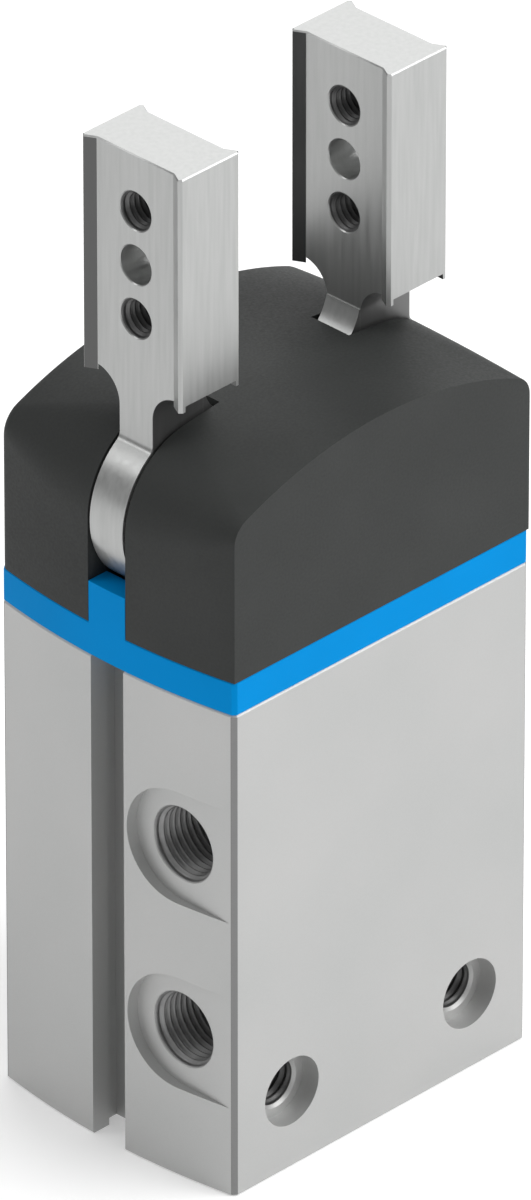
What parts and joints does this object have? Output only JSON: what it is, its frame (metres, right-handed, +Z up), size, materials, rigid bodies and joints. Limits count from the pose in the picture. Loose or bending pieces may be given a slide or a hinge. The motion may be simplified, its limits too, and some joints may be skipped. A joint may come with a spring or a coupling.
{
  "type": "pneumatic gripper",
  "caption": "Pneumatic gripper: a piston in the housing swings opposed steel jaws from upright and closed to flat open, with air ports, sensor grooves and threaded mounting holes.",
  "frame": {"origin": "centre of the bottom face of the housing", "axes": "+Z up along the stroke towards the jaws, X from jaw to jaw, -Y the front with the mounting holes, -X the end with the air ports"},
  "size_m": [0.0526, 0.038, 0.1314],
  "materials": {
    "anodised_body": "natural anodised, fine satin",
    "blue_ring": "satin blue",
    "dark_cap": "matte dark grey",
    "machined_steel": "machined",
    "ground_steel": "ground",
    "bronze": "sintered bronze",
    "jaw_steel": "satin ground stainless steel",
    "chrome_rod": "hard chromed",
    "piston_aluminium": "turned",
    "seal_rubber": "matte",
    "magnet": "plastic-bonded ferrite",
    "screw_steel": "black oxide",
    "bumper_rubber": "polyurethane",
    "end_cap_aluminium": "turned, anodised",
    "spring_steel": "phosphated"
  },
  "bodies": {
    "housing": {"housing": "anodised_body", "intermediate_ring": "blue_ring", "cover_cap": "dark_cap", "bearing_block": "machined_steel", "left_pivot_pin": "ground_steel", "right_pivot_pin": "ground_steel", "lower_bumper": "bumper_rubber", "upper_bumper": "bumper_rubber", "rod_guide_bush": "bronze", "rod_seal": "seal_rubber", "end_cap": "end_cap_aluminium", "end_cap_oring": "seal_rubber", "end_cap_retaining_ring": "spring_steel", "bearing_block_screws": "screw_steel", "cover_screws": "screw_steel"},
    "piston": {"piston": "piston_aluminium", "lower_piston_seal": "seal_rubber", "piston_magnet": "magnet", "upper_piston_seal": "seal_rubber", "piston_screw": "screw_steel", "piston_rod": "chrome_rod", "crosshead": "machined_steel", "crosshead_pins": "ground_steel"},
    "left_jaw": {"left_jaw": "jaw_steel", "left_pivot_bush": "bronze"},
    "right_jaw": {"right_jaw": "jaw_steel", "right_pivot_bush": "bronze"}
  },
  "joints": [
    {"name": "piston_slide", "type": "slide", "parent": "housing", "child": "piston", "axis": [0, 0, 1], "range_m": [0, 0.0116]},
    {"name": "left_jaw_pivot", "type": "hinge", "parent": "housing", "child": "left_jaw", "pos_m": [-0.0151, 0, 0.0839], "axis": [0, -1, 0], "range_deg": [0, 90.01]},
    {"name": "right_jaw_pivot", "type": "hinge", "parent": "housing", "child": "right_jaw", "pos_m": [0.0151, 0, 0.0839], "axis": [0, 1, 0], "range_deg": [0, 90.01]}
  ],
  "couplings": [
    {"joint": "left_jaw_pivot", "follows": "piston_slide", "rad_per_m": 135.41},
    {"joint": "right_jaw_pivot", "follows": "piston_slide", "rad_per_m": 135.41}
  ]
}
